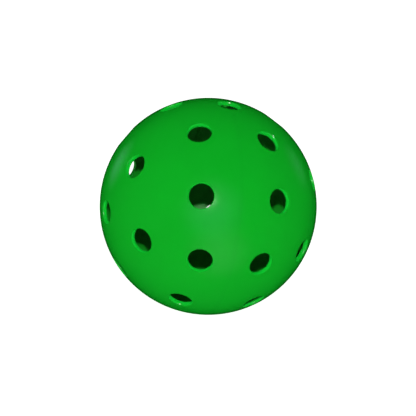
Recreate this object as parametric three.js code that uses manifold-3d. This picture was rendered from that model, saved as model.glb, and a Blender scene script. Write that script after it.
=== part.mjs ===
// Pickleball ball: two moulded half shells, the weld that joins them, and forty drilled holes.
// Millimetres, +Z up. The origin is the centre of the ball. The Z axis runs through the two pole
// holes of the hole pattern, and the half shells meet on the plane x = 0.

import * as THREE from 'three';
import { mergeVertices } from 'three/addons/utils/BufferGeometryUtils.js';
import Module from 'manifold-3d';

// Driving dimensions
const BALL_DIAMETER = 74;
const WALL = 1.4;
const HOLE_DIAMETER = 7.4; // through the wall, inside the softened rim
const RIM_CHAMFER = 0.35; // how far the outer rim of a hole is eased back, and how deep
const WELD_WIDTH = 1.4; // across the seam, from one half shell to the other
const WELD_CROWN = 0.05; // what is left of the outer bead once it is trimmed
const WELD_BEAD = 0.6; // how far the untrimmed inner bead stands in from the wall

// Rings of holes: latitude, number of holes, and longitude of the first hole, in degrees.
// Longitude 0 is +X and runs counter-clockwise seen from above. The lower ring of five is turned
// against the upper one.
const HOLE_RINGS = [
  { latitude: 90, count: 1, first: 0 },
  { latitude: 60, count: 5, first: 15 },
  { latitude: 30, count: 8, first: 24 },
  { latitude: 0, count: 12, first: 15 },
  { latitude: -30, count: 8, first: 24 },
  { latitude: -60, count: 5, first: 36 },
  { latitude: -90, count: 1, first: 0 },
];

// Fineness of the facets
const ROUND_SEGMENTS = 48; // around the seam
const ARC_STEPS = 12; // from a half shell's pole to the seam
const HOLE_SEGMENTS = 20; // around a hole
const DRILL_OVERRUN = 3; // how far the drill runs past both faces of the wall

const outerRadius = BALL_DIAMETER / 2;
const innerRadius = outerRadius - WALL;
const holeRadius = HOLE_DIAMETER / 2;
const halfWeld = WELD_WIDTH / 2;

const shellPlastic = { color: 0x17a92e, roughness: 0.42, metalness: 0 };
const weldPlastic = { color: 0x149c2a, roughness: 0.5, metalness: 0 };

const manifold = await Module();
manifold.setup();

// Turns a closed three.js geometry into a solid that can be joined and cut.
function toSolid(geometry) {
  const bare = geometry.clone();
  bare.deleteAttribute('normal');
  bare.deleteAttribute('uv');
  const merged = mergeVertices(bare, 1e-4);
  return new manifold.Manifold(new manifold.Mesh({
    numProp: 3,
    vertProperties: merged.attributes.position.array,
    triVerts: new Uint32Array(merged.index.array),
  }));
}

// Turns a solid back into a three.js mesh with its own material.
function toMesh(name, solid, plastic) {
  const { vertProperties, triVerts } = solid.getMesh();
  const geometry = new THREE.BufferGeometry();
  geometry.setAttribute('position', new THREE.BufferAttribute(vertProperties, 3));
  geometry.setIndex(new THREE.BufferAttribute(triVerts, 1));
  geometry.computeVertexNormals();
  const mesh = new THREE.Mesh(geometry, new THREE.MeshStandardMaterial(plastic));
  mesh.name = name;
  return mesh;
}

// Distance from the X axis of a point on a sphere of the given radius, at height x.
function ringRadius(sphereRadius, x) {
  return Math.sqrt(sphereRadius ** 2 - x ** 2);
}

// Points on a sphere's meridian, from the seam side at height halfWeld up to the pole.
function meridian(sphereRadius) {
  const start = Math.asin(halfWeld / sphereRadius);
  const points = [new THREE.Vector2(ringRadius(sphereRadius, halfWeld), halfWeld)];
  for (let step = 1; step < ARC_STEPS; step += 1) {
    const angle = start + ((Math.PI / 2 - start) * step) / ARC_STEPS;
    points.push(new THREE.Vector2(sphereRadius * Math.cos(angle), sphereRadius * Math.sin(angle)));
  }
  points.push(new THREE.Vector2(0, sphereRadius));
  return points;
}

// A half shell before drilling: side is 1 for the +X half and -1 for the -X half.
function halfShellBlank(side) {
  const profile = [...meridian(innerRadius).reverse(), ...meridian(outerRadius)];
  const geometry = new THREE.LatheGeometry(profile, ROUND_SEGMENTS);
  geometry.rotateZ((-side * Math.PI) / 2);
  return toSolid(geometry);
}

// The weld before drilling: a ring that fills the seam, with a low crown outside and a bead inside.
function weldBlank() {
  const outer = ringRadius(outerRadius, halfWeld);
  const inner = ringRadius(innerRadius, halfWeld);
  const profile = [
    new THREE.Vector2(inner, -halfWeld),
    new THREE.Vector2(outer, -halfWeld),
    new THREE.Vector2(outerRadius + WELD_CROWN, 0),
    new THREE.Vector2(outer, halfWeld),
    new THREE.Vector2(inner, halfWeld),
    new THREE.Vector2(innerRadius - WELD_BEAD, halfWeld / 2),
    new THREE.Vector2(innerRadius - WELD_BEAD, -halfWeld / 2),
    new THREE.Vector2(inner, -halfWeld),
  ];
  const geometry = new THREE.LatheGeometry(profile, ROUND_SEGMENTS);
  geometry.rotateZ(-Math.PI / 2);
  return toSolid(geometry);
}

// Outward direction of a point on the ball.
function direction(latitude, longitude) {
  const lat = THREE.MathUtils.degToRad(latitude);
  const lon = THREE.MathUtils.degToRad(longitude);
  return new THREE.Vector3(
    Math.cos(lat) * Math.cos(lon),
    Math.cos(lat) * Math.sin(lon),
    Math.sin(lat),
  );
}

// The drill for one hole: a plain bit that ends in a short countersink at the outer rim.
function drill(axis) {
  const wideRadius = holeRadius + RIM_CHAMFER;
  const rimHeight = ringRadius(outerRadius, wideRadius);
  const profile = [
    new THREE.Vector2(0, innerRadius - DRILL_OVERRUN),
    new THREE.Vector2(holeRadius, innerRadius - DRILL_OVERRUN),
    new THREE.Vector2(holeRadius, rimHeight - RIM_CHAMFER),
    new THREE.Vector2(wideRadius, rimHeight),
    new THREE.Vector2(wideRadius, outerRadius + DRILL_OVERRUN),
    new THREE.Vector2(0, outerRadius + DRILL_OVERRUN),
  ];
  const geometry = new THREE.LatheGeometry(profile, HOLE_SEGMENTS);
  const turn = new THREE.Quaternion().setFromUnitVectors(new THREE.Vector3(0, 1, 0), axis);
  geometry.applyQuaternion(turn);
  return toSolid(geometry);
}

// All the holes of the pattern, joined into one cutting solid.
function allDrills() {
  const drills = HOLE_RINGS.flatMap(({ latitude, count, first }) => (
    Array.from({ length: count }, (_, i) => drill(direction(latitude, first + (360 * i) / count)))
  ));
  return drills.reduce((joined, next) => joined.add(next));
}

// The drilled weld is three arcs. The pole holes part it into a -Y side, which is whole, and a +Y side,
// where a hole of the upper ring of five leaves a short bridge above it and a long arc below it.
function arcName(arc) {
  const { min, max } = arc.boundingBox();
  const middleY = (min[1] + max[1]) / 2;
  if (middleY < 0) return 'weld_front';
  if (min[2] > 0) return 'weld_top_bridge';
  return 'weld_back';
}

const holes = allDrills();
const ball = new THREE.Group();
ball.add(toMesh('shell_left', halfShellBlank(-1).subtract(holes), shellPlastic));
ball.add(toMesh('shell_right', halfShellBlank(1).subtract(holes), shellPlastic));
for (const arc of weldBlank().subtract(holes).decompose()) {
  ball.add(toMesh(arcName(arc), arc, weldPlastic));
}

export default ball;
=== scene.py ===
"""Pickleball ball: two moulded half shells, three weld arcs and a pale studio floor.

Everything is in metres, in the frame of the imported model: the origin is the ball's centre, +Z runs
through the pole holes, and the half shells meet on the plane x = 0.
"""

import math

import bpy
from bpy.props import FloatProperty, FloatVectorProperty, PointerProperty
from mathutils import Matrix, Vector
from mathutils.geometry import delaunay_2d_cdt


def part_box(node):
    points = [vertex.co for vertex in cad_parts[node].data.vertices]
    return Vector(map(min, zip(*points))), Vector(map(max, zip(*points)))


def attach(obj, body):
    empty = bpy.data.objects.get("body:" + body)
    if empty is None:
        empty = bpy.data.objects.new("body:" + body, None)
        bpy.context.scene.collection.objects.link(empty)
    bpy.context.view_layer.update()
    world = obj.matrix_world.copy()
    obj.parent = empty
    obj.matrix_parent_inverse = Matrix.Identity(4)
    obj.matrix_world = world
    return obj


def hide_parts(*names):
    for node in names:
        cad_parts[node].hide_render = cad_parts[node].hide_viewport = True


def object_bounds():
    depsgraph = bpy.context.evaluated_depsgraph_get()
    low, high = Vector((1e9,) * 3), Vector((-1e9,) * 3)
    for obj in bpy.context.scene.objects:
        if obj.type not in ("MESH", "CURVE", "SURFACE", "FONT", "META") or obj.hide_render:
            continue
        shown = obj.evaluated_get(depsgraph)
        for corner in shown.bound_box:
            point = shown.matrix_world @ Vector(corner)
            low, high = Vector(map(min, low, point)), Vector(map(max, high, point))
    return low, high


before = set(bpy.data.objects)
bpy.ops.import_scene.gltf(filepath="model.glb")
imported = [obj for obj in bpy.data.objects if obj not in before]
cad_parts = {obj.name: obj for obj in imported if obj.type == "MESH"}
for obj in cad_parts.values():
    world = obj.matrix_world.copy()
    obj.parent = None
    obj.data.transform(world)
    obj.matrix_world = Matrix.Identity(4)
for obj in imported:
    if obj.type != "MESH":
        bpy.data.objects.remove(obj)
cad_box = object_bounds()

bl_info = {
    "name": "Pickleball Ball",
    "version": (1, 0, 0),
    "blender": (4, 5, 0),
    "location": "3D View > Sidebar > Pickleball",
    "description": "Builds a drilled, welded pickleball ball on its packed frame",
    "category": "Add Mesh",
}

MM = 0.001

# Rings of holes: latitude, number of holes, and longitude of the first one, in degrees.
HOLE_RINGS = (
    (90, 1, 0),
    (60, 5, 15),
    (30, 8, 24),
    (0, 12, 15),
    (-30, 8, 24),
    (-60, 5, 36),
    (-90, 1, 0),
)

# Fineness of the meshes
RIM_STEPS = 48  # around a hole
EDGE_STEPS = 6  # down the curved throat of a hole
BURR_STEPS = 3  # across the eased inner edge of a hole
OUTER_FINENESS = 7  # subdivisions of the sphere that fills the outer skin between the holes
INNER_FINENESS = 6  # the same for the lining
OUTER_SPACING = 0.7 * MM  # between the points of the outer skin
INNER_SPACING = 1.3 * MM  # between the points of the lining
OUTER_COLLARS = (0.5 * MM, 1.1 * MM)  # extra circles round a hole's mouth, from its edge outwards
INNER_COLLAR = 0.7 * MM  # the same for the lining
WELD_ROWS = (0.5, 0.85, 1.0)  # rows of points across half the weld, as parts of its width
MERGE = 1e-6  # vertices this close are one
MAP_MERGE = 1e-9  # the same on the flat map of a sphere
ALL_TRIANGLES = 0  # what the triangulation returns: every triangle, holes included

THROAT_TURN = math.radians(40)  # how far the throat turns, from the edge to the straight wall
CREASE = math.radians(32)  # edges sharper than this stay sharp


# ---------------------------------------------------------------- settings

def length(name, description, default):
    return FloatProperty(name=name, description=description, default=default, min=0.0,
                         precision=5, unit="LENGTH", subtype="DISTANCE")


def srgb(code):
    """Linear colour of an sRGB hex code such as '1A9C30'."""
    parts = [int(code[i:i + 2], 16) / 255 for i in (0, 2, 4)]
    return tuple(c / 12.92 if c <= 0.04045 else ((c + 0.055) / 1.055) ** 2.4 for c in parts)


def colour(name, description, code):
    return FloatVectorProperty(name=name, description=description, default=srgb(code), size=3,
                               min=0.0, max=1.0, subtype="COLOR")


right_low, right_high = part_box("shell_right")


class PickleballSizes(bpy.types.PropertyGroup):
    """Sizes of the ball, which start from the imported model."""

    radius: length("Ball radius", "From the centre to the outer skin", right_high.x)
    wall: length("Wall", "Thickness of the moulded shell", 1.4 * MM)
    hole_radius: length("Hole radius", "Radius of a drilled hole through the wall", 3.7 * MM)
    throat_radius: length("Throat radius", "How round a hole's mouth is below its edge", 0.95 * MM)
    burr_radius: length("Inner edge radius", "How round the inner edge of a hole is", 0.12 * MM)
    half_weld: length("Half weld", "From the seam's middle to a half shell", right_low.x)
    weld_crown: length("Weld crown", "What is left of the trimmed bead outside", 0.006 * MM)
    weld_bead: length("Weld bead", "Height of the untrimmed bead inside", 0.55 * MM)
    seam_groove: length("Seam groove", "Depth of the hairline on each side of the weld", 0.003 * MM)
    groove_width: length("Groove width", "How far the hairline reaches into a half shell", 0.1 * MM)


class PickleballColours(bpy.types.PropertyGroup):
    """Colours of the ball and its stage."""

    shell: colour("Shell", "Moulded green of the half shells", "0CAA22")
    weld: colour("Weld", "Green of the re-set plastic in the seam", "0CA822")
    # Painted highlight: the drilled wall is a paler green than the shell, to stand for lamp light
    # falling on the hole walls
    drilled: colour("Drilled wall", "Pale green of the cut plastic in a hole", "10CC34")
    # Painted shade: the lining is a deeper green than the shell, to stand for the dim inside of the
    # ball
    lining: colour("Lining", "Deep green of the skin inside the ball", "07A01C")
    floor: colour("Floor", "Pale studio floor", "F4F4F2")


# ---------------------------------------------------------------- mesh helpers

def deselect_all():
    bpy.ops.object.select_all(action="DESELECT")


def make_active(*objects):
    deselect_all()
    for item in objects:
        item.select_set(True)
    bpy.context.view_layer.objects.active = objects[0]


def new_object(name, points, edges, faces):
    mesh = bpy.data.meshes.new(name)
    mesh.from_pydata(points, edges, faces)
    item = bpy.data.objects.new(name, mesh)
    bpy.context.scene.collection.objects.link(item)
    return item


def hole_turns():
    """One rotation for each hole, which turns +Z to the hole's outward axis."""
    turns = []
    for latitude, count, first in HOLE_RINGS:
        for i in range(count):
            longitude = math.radians(first + 360 * i / count)
            tilt = math.radians(90 - latitude)
            turns.append(Matrix.Rotation(longitude, 3, "Z") @ Matrix.Rotation(tilt, 3, "Y"))
    return turns


def ring(sphere_radius, ring_radius):
    """A circle of points on a sphere round +Z, at a distance from the axis."""
    height = math.sqrt(sphere_radius ** 2 - ring_radius ** 2)
    return [
        Vector((ring_radius * math.cos(a), ring_radius * math.sin(a), height))
        for a in (2 * math.pi * i / RIM_STEPS for i in range(RIM_STEPS))
    ]


def sphere_points(radius, fineness):
    """Evenly spread points on a sphere, from a subdivided icosahedron."""
    deselect_all()
    bpy.ops.mesh.primitive_ico_sphere_add(subdivisions=fineness, radius=radius)
    ball = bpy.context.object
    points = [v.co.normalized() * radius for v in ball.data.vertices]
    bpy.data.objects.remove(ball)
    return points


def seam_rows(radius, heights, clear_of, spacing):
    """Rows of points on a sphere at fixed x, left out near the holes, with the edges along them."""
    points, edges = [], []
    for x in heights:
        row_radius = math.sqrt(radius ** 2 - x ** 2)
        count = round(2 * math.pi * row_radius / spacing)
        row = [
            Vector((x, row_radius * math.cos(a), row_radius * math.sin(a)))
            for a in (2 * math.pi * i / count for i in range(count))
        ]
        kept = [clear_of(p) for p in row]
        index = {}
        for i, point in enumerate(row):
            if kept[i]:
                index[i] = len(points)
                points.append(point)
        edges += [(index[i], index[(i + 1) % count]) for i in index if (i + 1) % count in index]
    return points, edges


def flatten(point, radius):
    """A point of a sphere on its flat map, seen from the top pole. Circles stay circles."""
    p = point / radius
    return Vector((p.x / (1 - p.z), p.y / (1 - p.z)))


def wrap(flat, radius):
    """The point of a sphere that a point of its flat map stands for."""
    s = flat.length_squared
    return Vector((2 * flat.x, 2 * flat.y, s - 1)) * (radius / (s + 1))


def skin(name, radius, ring_radii, row_heights, fineness, spacing):
    """One drilled spherical skin: exact circles round the holes, even triangles between them."""
    turns = hole_turns()
    points, edges = [], []
    for turn in turns:
        first = len(points)
        points += [turn @ p for p in ring(radius, ring_radii[0])]
        edges += [(first + i, first + (i + 1) % RIM_STEPS) for i in range(RIM_STEPS)]
    n_rim = len(points)
    for ring_radius in ring_radii[1:]:
        points += [turn @ p for turn in turns for p in ring(radius, ring_radius)]
    axes = [turn @ Vector((0, 0, 1)) for turn in turns]

    def clear_by(point, reach):
        limit = math.sqrt(1 - (reach / radius) ** 2) * radius
        return all(point.dot(axis) < limit for axis in axes)

    # Points nearer than this to a collar or a seam row would make slivers, so they are left out
    row_gap, point_gap, seam_gap = spacing * 0.4, spacing * 0.6, spacing * 0.5
    rows, row_edges = seam_rows(
        radius, row_heights, lambda p: clear_by(p, ring_radii[-1] + row_gap), spacing * 0.8)
    first = len(points)
    points += rows
    edges += [(first + a, first + b) for a, b in row_edges]
    points += [
        p for p in sphere_points(radius, fineness)
        if abs(p.x) > max(row_heights) + seam_gap and clear_by(p, ring_radii[-1] + point_gap)
    ]
    flat = [flatten(p, radius) for p in points]
    out_points, _, faces, origins, _, _ = delaunay_2d_cdt(flat, edges, [], ALL_TRIANGLES, MAP_MERGE)
    final = [
        points[origin[0]] if origin else wrap(p, radius)
        for p, origin in zip(out_points, origins)
    ]
    # A triangle whose corners all lie on the rim of one hole would close that hole
    rim_of = [
        origin[0] // RIM_STEPS if origin and origin[0] < n_rim else -1 - i
        for i, origin in enumerate(origins)
    ]
    open_faces = [f for f in faces if len({rim_of[v] for v in f}) > 1]
    return new_object(name, final, [], open_faces)


def mouth_radius(sizes):
    """Distance from a hole's axis to the crisp edge where its curved throat meets the skin."""
    return sizes.hole_radius + sizes.throat_radius * (1 - math.cos(THROAT_TURN))


def rim_profile(sizes):
    """Section of a hole, as (distance from the axis, height): from the crisp outer edge down the curved
    throat and the drilled wall, and round the eased inner edge."""
    hole, throat, burr = sizes.hole_radius, sizes.throat_radius, sizes.burr_radius
    inner = sizes.radius - sizes.wall
    centre = math.sqrt(sizes.radius ** 2 - mouth_radius(sizes) ** 2) - throat * math.sin(THROAT_TURN)
    bottom = math.sqrt((inner + burr) ** 2 - (hole + burr) ** 2)
    end = math.atan2(-bottom, -(hole + burr)) + 2 * math.pi
    start = math.pi - THROAT_TURN
    profile = [
        (hole + throat + throat * math.cos(a), centre + throat * math.sin(a))
        for a in (start + THROAT_TURN * i / EDGE_STEPS for i in range(EDGE_STEPS + 1))
    ]
    profile += [
        (hole + burr + burr * math.cos(a), bottom + burr * math.sin(a))
        for a in (math.pi + (end - math.pi) * i / BURR_STEPS for i in range(BURR_STEPS + 1))
    ]
    return profile


def spun_rim(sizes):
    """The edge and wall of one hole, spun round +Z."""
    section = [(r, 0.0, z) for r, z in rim_profile(sizes)]
    rim = new_object("rim", section, [(i, i + 1) for i in range(len(section) - 1)], [])
    make_active(rim)
    bpy.ops.object.mode_set(mode="EDIT")
    bpy.ops.mesh.select_all(action="SELECT")
    bpy.ops.mesh.spin(steps=RIM_STEPS, angle=2 * math.pi, center=(0, 0, 0), axis=(0, 0, 1))
    bpy.ops.mesh.select_all(action="SELECT")
    bpy.ops.mesh.remove_doubles(threshold=MERGE)
    bpy.ops.object.mode_set(mode="OBJECT")
    return rim


def copies_at_holes(source):
    """One copy of a mesh at each hole, each with its own mesh in place."""
    made = []
    for turn in hole_turns():
        copy = source.copy()
        copy.data = source.data.copy()
        copy.data.transform(turn.to_4x4())
        bpy.context.scene.collection.objects.link(copy)
        made.append(copy)
    bpy.data.objects.remove(source)
    return made


def seam_shape(point, sizes):
    """Moves a point near the seam, straight out from the X axis: a hairline groove and a low crown
    outside, a bead inside."""
    x = abs(point.x)
    edge = sizes.half_weld + sizes.groove_width
    if x >= edge:
        return point
    if x > sizes.half_weld:
        outside = -sizes.seam_groove * (edge - x) / sizes.groove_width
        inside = 0.0
    else:
        dome = math.sqrt(max(0.0, 1 - (x / sizes.half_weld) ** 2))
        outside = -sizes.seam_groove + (sizes.seam_groove + sizes.weld_crown) * dome
        inside = -sizes.weld_bead * dome
    depth = (point.length - sizes.radius + sizes.wall) / sizes.wall
    move = outside * min(max(2 * depth - 1, 0.0), 1.0) + inside * min(max(1 - 2 * depth, 0.0), 1.0)
    stretch = 1 + move / math.hypot(point.y, point.z)
    return Vector((point.x, point.y * stretch, point.z * stretch))


def drilled_ball(sizes):
    """The whole hollow ball with every hole, as one closed mesh, shaped along the seam."""
    inner = sizes.radius - sizes.wall
    outer_ring = mouth_radius(sizes)
    inner_ring = (sizes.hole_radius + sizes.burr_radius) * inner / (inner + sizes.burr_radius)
    half_rows = tuple(sizes.half_weld * part for part in WELD_ROWS)
    half_rows += (sizes.half_weld + sizes.groove_width,)
    rows = (0.0,) + half_rows + tuple(-x for x in half_rows)
    outer_rings = (outer_ring,) + tuple(outer_ring + collar for collar in OUTER_COLLARS)
    inner_rings = (inner_ring, inner_ring + INNER_COLLAR)
    outer = skin("outer_skin", sizes.radius, outer_rings, rows, OUTER_FINENESS, OUTER_SPACING)
    lining = skin("inner_skin", inner, inner_rings, rows, INNER_FINENESS, INNER_SPACING)
    parts = [outer, lining] + copies_at_holes(spun_rim(sizes))
    make_active(*parts)
    bpy.ops.object.join()
    ball = bpy.context.object
    bpy.ops.object.mode_set(mode="EDIT")
    bpy.ops.mesh.select_all(action="SELECT")
    bpy.ops.mesh.remove_doubles(threshold=MERGE)
    bpy.ops.mesh.normals_make_consistent(inside=False)
    bpy.ops.object.mode_set(mode="OBJECT")
    for vertex in ball.data.vertices:
        vertex.co = seam_shape(vertex.co, sizes)
    return ball


def cut_at(item, x, keep_right):
    """Cuts a solid on the plane at x and closes the cut; keeps the +X side or the -X side."""
    make_active(item)
    bpy.ops.object.mode_set(mode="EDIT")
    bpy.ops.mesh.select_all(action="SELECT")
    bpy.ops.mesh.bisect(plane_co=(x, 0, 0), plane_no=(1, 0, 0), use_fill=True, threshold=MERGE,
                        clear_inner=keep_right, clear_outer=not keep_right)
    bpy.ops.object.mode_set(mode="OBJECT")


def copy_of(source, name):
    item = source.copy()
    item.data = source.data.copy()
    item.name = item.data.name = name
    bpy.context.scene.collection.objects.link(item)
    return item


def smooth(item):
    make_active(item)
    bpy.ops.object.shade_smooth_by_angle(angle=CREASE)


# ---------------------------------------------------------------- materials

# Where the lining gives way to the drilled wall, and the wall to the skin
LINING_FADE = 0.15 * MM  # out from the inner surface
SKIN_FADE = (0.3 * MM, 0.02 * MM)  # in from the outer surface, where the skin starts and is whole

# Sizes of the marks in the plastic
CLOUD_SIZE = 14 * MM
RUB_SIZE = 6 * MM
PEEL_SIZE = 1.1 * MM
TURNED_SIZE = 0.25 * MM
SCRAPE_SIZE = 0.3 * MM
SCRAPE_STRETCH = 20  # how much longer a scrape is than wide

# Depths of the marks
PEEL_DEPTH = 0.002 * MM
TURNED_DEPTH = 0.0004 * MM
SCRAPE_DEPTH = 0.003 * MM

# Colour and gloss
CLOUD_SHADES = (0.94, 1.06)  # the thinnest and the thickest pigment
RUB_RANGE = (0.35, 0.75)  # noise values where a rub starts and is whole
SKIN_GLOSS = (0.1, 0.135)  # roughness of clean skin and of a rub
LINING_GLOSS = 0.55
WALL_GLOSS = 0.22
LIGHT_DEPTH = 0.8 * MM  # how far light spreads in the plastic


def add_node(tree, kind, settings=None, links=None):
    """Adds a shader node, sets its properties and sockets, and links other sockets to it. A socket is
    given by its name, or by its number where several share a name."""
    node = tree.nodes.new(kind)
    for key, value in (settings or {}).items():
        if isinstance(key, int) or key in node.inputs:
            node.inputs[key].default_value = value
        else:
            setattr(node, key, value)
    for key, source in (links or {}).items():
        tree.links.new(source, node.inputs[key])
    return node


def new_material(name):
    """An empty node material and its tree, with the object's own coordinates."""
    material = bpy.data.materials.new(name)
    material.use_nodes = True
    tree = material.node_tree
    tree.nodes.clear()
    place = add_node(tree, "ShaderNodeTexCoord").outputs["Object"]
    return material, tree, place


def shade(colour_value, factor):
    return tuple(min(1.0, c * factor) for c in colour_value) + (1.0,)


def polyethylene(name, base, trim_marks):
    """Moulded high-density polyethylene: deep green all through, a clear satin gloss with a faint
    orange peel from the mould, slightly cloudy pigment and a few dull rubs from play. The drilled wall
    of a hole is painted a paler green, a painted highlight for the lamp light falling on the walls, and
    has fine turned rings from the drill. Inside, the skin is painted a deeper green, painted shade for
    the dim inside of the ball, and is dull."""
    sizes, colours = scene_settings()
    material, tree, place = new_material(name)
    inner = sizes.radius - sizes.wall
    # How far out from the ball's centre a point lies tells the lining, the wall and the skin apart
    reach = add_node(tree, "ShaderNodeVectorMath", {"operation": "LENGTH"},
                     {0: place}).outputs["Value"]
    in_wall = add_node(tree, "ShaderNodeMapRange",
                       {"From Min": inner, "From Max": inner + LINING_FADE},
                       {"Value": reach}).outputs[0]
    on_skin = add_node(tree, "ShaderNodeMapRange",
                       {"From Min": sizes.radius - SKIN_FADE[0],
                        "From Max": sizes.radius - SKIN_FADE[1]},
                       {"Value": reach}).outputs[0]

    thin, thick = CLOUD_SHADES
    cloud = add_node(tree, "ShaderNodeTexNoise", {"Scale": 1 / CLOUD_SIZE, "Detail": 3.0},
                     {"Vector": place}).outputs["Fac"]
    moulded = add_node(tree, "ShaderNodeMix",
                       {"data_type": "RGBA", 6: shade(base, thin), 7: shade(base, thick)},
                       {0: cloud}).outputs[2]
    # Painted light and shade on the cut plastic: the paler drilled wall stands for lamp light on it,
    # the deeper lining for the dim inside
    cut = add_node(tree, "ShaderNodeMix",
                   {"data_type": "RGBA", 6: shade(colours.lining, 1), 7: shade(colours.drilled, 1)},
                   {0: in_wall}).outputs[2]
    tint = add_node(tree, "ShaderNodeMix", {"data_type": "RGBA"},
                    {0: on_skin, 6: cut, 7: moulded}).outputs[2]

    rub = add_node(tree, "ShaderNodeTexNoise",
                   {"Scale": 1 / RUB_SIZE, "Detail": 5.0, "Roughness": 0.65},
                   {"Vector": place}).outputs["Fac"]
    skin_gloss = add_node(tree, "ShaderNodeMapRange",
                          {"From Min": RUB_RANGE[0], "From Max": RUB_RANGE[1],
                           "To Min": SKIN_GLOSS[0], "To Max": SKIN_GLOSS[1]},
                          {"Value": rub}).outputs[0]
    cut_gloss = add_node(tree, "ShaderNodeMapRange",
                         {"To Min": LINING_GLOSS, "To Max": WALL_GLOSS},
                         {"Value": in_wall}).outputs[0]
    gloss = add_node(tree, "ShaderNodeMix", {"data_type": "FLOAT"},
                     {0: on_skin, 2: cut_gloss, 3: skin_gloss}).outputs[0]

    peel = add_node(tree, "ShaderNodeTexNoise", {"Scale": 1 / PEEL_SIZE, "Detail": 2.0},
                    {"Vector": place}).outputs["Fac"]
    relief = add_node(tree, "ShaderNodeBump", {"Strength": 1.0, "Distance": PEEL_DEPTH},
                      {"Height": peel}).outputs[0]
    turned = add_node(tree, "ShaderNodeTexNoise",
                      {"noise_dimensions": "1D", "Scale": 1 / TURNED_SIZE, "Detail": 1.0},
                      {"W": reach}).outputs["Fac"]
    off_skin = add_node(tree, "ShaderNodeMapRange", {"To Min": 1.0, "To Max": 0.0},
                        {"Value": on_skin}).outputs[0]
    relief = add_node(tree, "ShaderNodeBump", {"Distance": TURNED_DEPTH},
                      {"Strength": off_skin, "Height": turned, "Normal": relief}).outputs[0]
    if trim_marks:
        stretch = 1 / SCRAPE_STRETCH
        along = add_node(tree, "ShaderNodeMapping", {"Scale": (1, stretch, stretch)},
                         {"Vector": place}).outputs[0]
        scrape = add_node(tree, "ShaderNodeTexNoise", {"Scale": 1 / SCRAPE_SIZE, "Detail": 2.0},
                          {"Vector": along}).outputs["Fac"]
        relief = add_node(tree, "ShaderNodeBump", {"Strength": 1.0, "Distance": SCRAPE_DEPTH},
                          {"Height": scrape, "Normal": relief}).outputs[0]
    shader = add_node(tree, "ShaderNodeBsdfPrincipled",
                      {"IOR": 1.51, "Specular IOR Level": 0.5, "Diffuse Roughness": 0.6,
                       "Subsurface Weight": 0.15, "Subsurface Scale": LIGHT_DEPTH,
                       "Subsurface Radius": (0.15, 1.0, 0.3)},
                      {"Base Color": tint, "Roughness": gloss, "Normal": relief})
    add_node(tree, "ShaderNodeOutputMaterial", links={"Surface": shader.outputs[0]})
    return material


def studio_floor(colours):
    """Matt painted board, evenly lit from within, which gives a clean pale ground."""
    material, tree, _ = new_material("matt_studio_board")
    shader = add_node(tree, "ShaderNodeBsdfPrincipled",
                      {"Base Color": tuple(colours.floor) + (1.0,), "Roughness": 0.95,
                       "Specular IOR Level": 0.0, "Emission Color": (1.0, 1.0, 1.0, 1.0),
                       "Emission Strength": 1.0})
    add_node(tree, "ShaderNodeOutputMaterial", links={"Surface": shader.outputs[0]})
    return material


# ---------------------------------------------------------------- camera and stage

# Where the camera stands, seen from the ball's centre, and how it is turned
CAMERA_AZIMUTH = -16.4
CAMERA_ELEVATION = 26.25
CAMERA_ROLL = 11.73
CAMERA_DISTANCE = 6.016  # in ball radii
CAMERA_LENS = 55.75  # mm
SENSOR_WIDTH = 36  # mm
CLIP_START = 0.01  # metres
CAMERA_AIM = (-0.07 * MM, -0.56 * MM)  # how far right and up of the ball's centre it aims


def direction(azimuth, elevation):
    a, e = math.radians(azimuth), math.radians(elevation)
    return Vector((math.sin(a) * math.cos(e), -math.cos(a) * math.cos(e), math.sin(e)))


def camera_axes():
    """Right, up and back of the camera, with its roll."""
    a, roll = math.radians(CAMERA_AZIMUTH), math.radians(CAMERA_ROLL)
    back = direction(CAMERA_AZIMUTH, CAMERA_ELEVATION)
    right = Vector((math.cos(a), math.sin(a), 0))
    up = back.cross(right)
    return (right * math.cos(roll) + up * math.sin(roll),
            up * math.cos(roll) - right * math.sin(roll), back)


def add_camera(radius):
    right, up, back = camera_axes()
    data = bpy.data.cameras.new("camera")
    data.lens = CAMERA_LENS
    data.sensor_width = SENSOR_WIDTH
    data.clip_start = CLIP_START
    camera = bpy.data.objects.new("camera", data)
    bpy.context.scene.collection.objects.link(camera)
    turn = Matrix((right, up, back)).transposed().to_4x4()
    aim = right * CAMERA_AIM[0] + up * CAMERA_AIM[1]
    camera.matrix_world = Matrix.Translation(aim + back * (CAMERA_DISTANCE * radius)) @ turn
    bpy.context.scene.camera = camera


# Lamps: name, degrees right of the camera and above it, distance from the ball's centre in metres,
# width in metres, watts, colour, and whether it lights the ball and shows as a reflection on it
LAMPS = (
    ("flash", 0, 5.5, 0.2226, 0.004, 0.305, "FFFFFF", True, True),
    ("room", 4, -4, 0.6, 0.9, 1.4, "A8EEFF", False, True),
    ("pale_table", 14, -46, 0.5, 0.7, 0.6, "D8FFF4", False, True),
    ("left_window", -122, 22, 0.5, 0.3, 0.09, "B8F0FF", False, True),
    ("right_window", 118, 22, 0.5, 0.3, 0.04, "B8F0FF", False, True),
    ("back_fill", 180, 0, 0.6, 0.25, 4.8, "FFFFFF", True, False),
)
SOFT_LAMP = 0.1  # lamps wider than this, in metres, fade towards their edge

ROOM_LIGHT = 0.15  # strongest in front of the camera, fading to none behind it
GROUND_LIGHT = 0.85  # strongest from straight below, fading to none from above
FLOOR_SIZE = 8  # metres


def fade_to_edge(data):
    """Makes a wide lamp brightest in its middle, as a diffusing cloth does."""
    data.use_nodes = True
    tree = data.node_tree
    tree.nodes.clear()
    across = add_node(tree, "ShaderNodeNewGeometry").outputs["Parametric"]
    off_centre = add_node(tree, "ShaderNodeVectorMath", {"operation": "DISTANCE", 1: (0.5, 0.5, 0.0)},
                          {0: across}).outputs["Value"]
    fade = add_node(tree, "ShaderNodeMapRange",
                    {"interpolation_type": "SMOOTHSTEP", "From Min": 0.0, "From Max": 0.5,
                     "To Min": 1.0, "To Max": 0.0}, {"Value": off_centre}).outputs[0]
    glow = add_node(tree, "ShaderNodeEmission", links={"Strength": fade}).outputs[0]
    add_node(tree, "ShaderNodeOutputLight", links={"Surface": glow})


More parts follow.
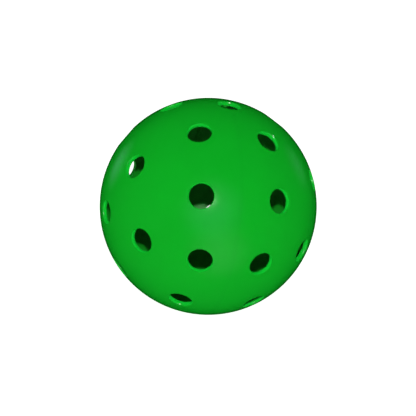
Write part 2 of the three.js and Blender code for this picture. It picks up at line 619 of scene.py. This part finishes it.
def add_lamp(name, sideways, upwards, distance, size, watts, tint, lights, reflects):
    """A round lamp, placed by its angle right of and above the camera, aimed at the ball."""
    right, up, back = camera_axes()
    s, u = math.radians(sideways), math.radians(upwards)
    toward = (back * math.cos(s) + right * math.sin(s)) * math.cos(u) + up * math.sin(u)
    data = bpy.data.lights.new(name, "AREA")
    data.shape = "DISK"
    data.size = size
    data.energy = watts
    data.color = srgb(tint)
    if size > SOFT_LAMP:
        fade_to_edge(data)
    lamp = bpy.data.objects.new(name, data)
    bpy.context.scene.collection.objects.link(lamp)
    lamp.visible_diffuse = lights
    lamp.visible_glossy = reflects
    lamp.location = toward * distance
    lamp.rotation_euler = toward.to_track_quat("Z", "Y").to_euler()
    return lamp


def add_world():
    """Soft light from a pale backdrop and ground, with a dark room behind the camera. The camera sees
    plain white."""
    world = bpy.data.worlds.new("studio")
    bpy.context.scene.world = world
    world.use_nodes = True
    tree = world.node_tree
    tree.nodes.clear()
    toward = add_node(tree, "ShaderNodeTexCoord").outputs["Generated"]
    facing = add_node(tree, "ShaderNodeVectorMath",
                      {"operation": "DOT_PRODUCT", 1: camera_axes()[2]},
                      {0: toward}).outputs["Value"]
    room = add_node(tree, "ShaderNodeMapRange",
                    {"From Min": -1.0, "To Min": ROOM_LIGHT, "To Max": 0.0},
                    {"Value": facing}).outputs[0]
    height = add_node(tree, "ShaderNodeSeparateXYZ", links={0: toward}).outputs["Z"]
    ground = add_node(tree, "ShaderNodeMapRange",
                      {"From Min": -1.0, "To Min": GROUND_LIGHT, "To Max": 0.0},
                      {"Value": height}).outputs[0]
    both = add_node(tree, "ShaderNodeMath", {"operation": "ADD"}, {0: room, 1: ground}).outputs[0]
    light = add_node(tree, "ShaderNodeBackground", {"Color": (1, 1, 1, 1)}, {"Strength": both})
    seen = add_node(tree, "ShaderNodeBackground", {"Color": (1, 1, 1, 1), "Strength": 1.0})
    path = add_node(tree, "ShaderNodeLightPath")
    mix = add_node(tree, "ShaderNodeMixShader",
                   links={0: path.outputs["Is Camera Ray"], 1: light.outputs[0], 2: seen.outputs[0]})
    add_node(tree, "ShaderNodeOutputWorld", links={"Surface": mix.outputs[0]})
    world.cycles_visibility.glossy = False


# ---------------------------------------------------------------- operators

def scene_settings():
    scene = bpy.context.scene
    return scene.pickleball_sizes, scene.pickleball_colours


def whole_ball():
    """The drilled ball that the half shells and the weld are cut from, made once."""
    found = bpy.data.objects.get("drilled_ball")
    if found:
        return found
    ball = drilled_ball(scene_settings()[0])
    ball.name = "drilled_ball"
    return ball


class PICKLEBALL_OT_half_shells(bpy.types.Operator):
    """Make the two moulded half shells"""

    bl_idname = "pickleball.half_shells"
    bl_label = "Half Shells"

    def execute(self, context):
        sizes, colours = scene_settings()
        plastic = polyethylene("moulded_satin_polyethylene", colours.shell, trim_marks=False)
        for name, side, node in (("half_shell_left", -1, "shell_left"),
                                 ("half_shell_right", 1, "shell_right")):
            shell = copy_of(whole_ball(), name)
            cut_at(shell, side * sizes.half_weld, keep_right=side > 0)
            smooth(shell)
            shell.data.materials.clear()
            shell.data.materials.append(plastic)
            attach(shell, "root")
            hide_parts(node)
        return {"FINISHED"}


class PICKLEBALL_OT_weld_arcs(bpy.types.Operator):
    """Make the three arcs of weld that the drilled holes leave in the seam"""

    bl_idname = "pickleball.weld_arcs"
    bl_label = "Weld Arcs"

    def execute(self, context):
        sizes, colours = scene_settings()
        plastic = polyethylene("trimmed_weld_polyethylene", colours.weld, trim_marks=True)
        ring_of_weld = copy_of(whole_ball(), "weld_ring")
        cut_at(ring_of_weld, -sizes.half_weld, keep_right=True)
        cut_at(ring_of_weld, sizes.half_weld, keep_right=False)
        smooth(ring_of_weld)
        make_active(ring_of_weld)
        bpy.ops.mesh.separate(type="LOOSE")
        for arc in list(bpy.context.selected_objects):
            ys = [v.co.y for v in arc.data.vertices]
            zs = [v.co.z for v in arc.data.vertices]
            if max(ys) + min(ys) < 0:
                node = "weld_front"
            elif min(zs) > 0:
                node = "weld_top_bridge"
            else:
                node = "weld_back"
            arc.name = arc.data.name = node + "_arc"
            arc.data.materials.clear()
            arc.data.materials.append(plastic)
            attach(arc, "root")
            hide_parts(node)
        return {"FINISHED"}


class PICKLEBALL_OT_stage(bpy.types.Operator):
    """Set the floor, the soft lamps and the camera"""

    bl_idname = "pickleball.stage"
    bl_label = "Studio Stage"

    def execute(self, context):
        sizes, colours = scene_settings()
        low, _ = cad_box
        deselect_all()
        bpy.ops.mesh.primitive_plane_add(size=FLOOR_SIZE, location=(0, 0, low.z))
        floor = bpy.context.object
        floor.name = "studio_floor"
        floor.data.materials.append(studio_floor(colours))
        # The floor takes no part in the ball's light, so the ground light reaches the underside
        floor.visible_diffuse = False
        floor.visible_glossy = False
        floor.visible_shadow = False
        add_world()
        for lamp in LAMPS:
            add_lamp(*lamp)
        add_camera(sizes.radius)
        context.scene.view_settings.view_transform = "Standard"
        return {"FINISHED"}


class PICKLEBALL_PT_panel(bpy.types.Panel):
    """Sizes, colours and pieces of the ball"""

    bl_label = "Pickleball Ball"
    bl_space_type = "VIEW_3D"
    bl_region_type = "UI"
    bl_category = "Pickleball"

    def draw(self, context):
        for settings in scene_settings():
            box = self.layout.box()
            for key in settings.__annotations__:
                box.prop(settings, key)
        for operator in OPERATORS:
            self.layout.operator(operator.bl_idname)


OPERATORS = (PICKLEBALL_OT_half_shells, PICKLEBALL_OT_weld_arcs, PICKLEBALL_OT_stage)
CLASSES = (PickleballSizes, PickleballColours) + OPERATORS + (PICKLEBALL_PT_panel,)


def register():
    for item in CLASSES:
        bpy.utils.register_class(item)
    bpy.types.Scene.pickleball_sizes = PointerProperty(type=PickleballSizes)
    bpy.types.Scene.pickleball_colours = PointerProperty(type=PickleballColours)


def unregister():
    del bpy.types.Scene.pickleball_colours
    del bpy.types.Scene.pickleball_sizes
    for item in reversed(CLASSES):
        bpy.utils.unregister_class(item)


def main():
    register()
    bpy.ops.pickleball.half_shells()
    bpy.ops.pickleball.weld_arcs()
    bpy.data.objects.remove(whole_ball())
    bpy.ops.pickleball.stage()


if __name__ == "__main__":
    main()
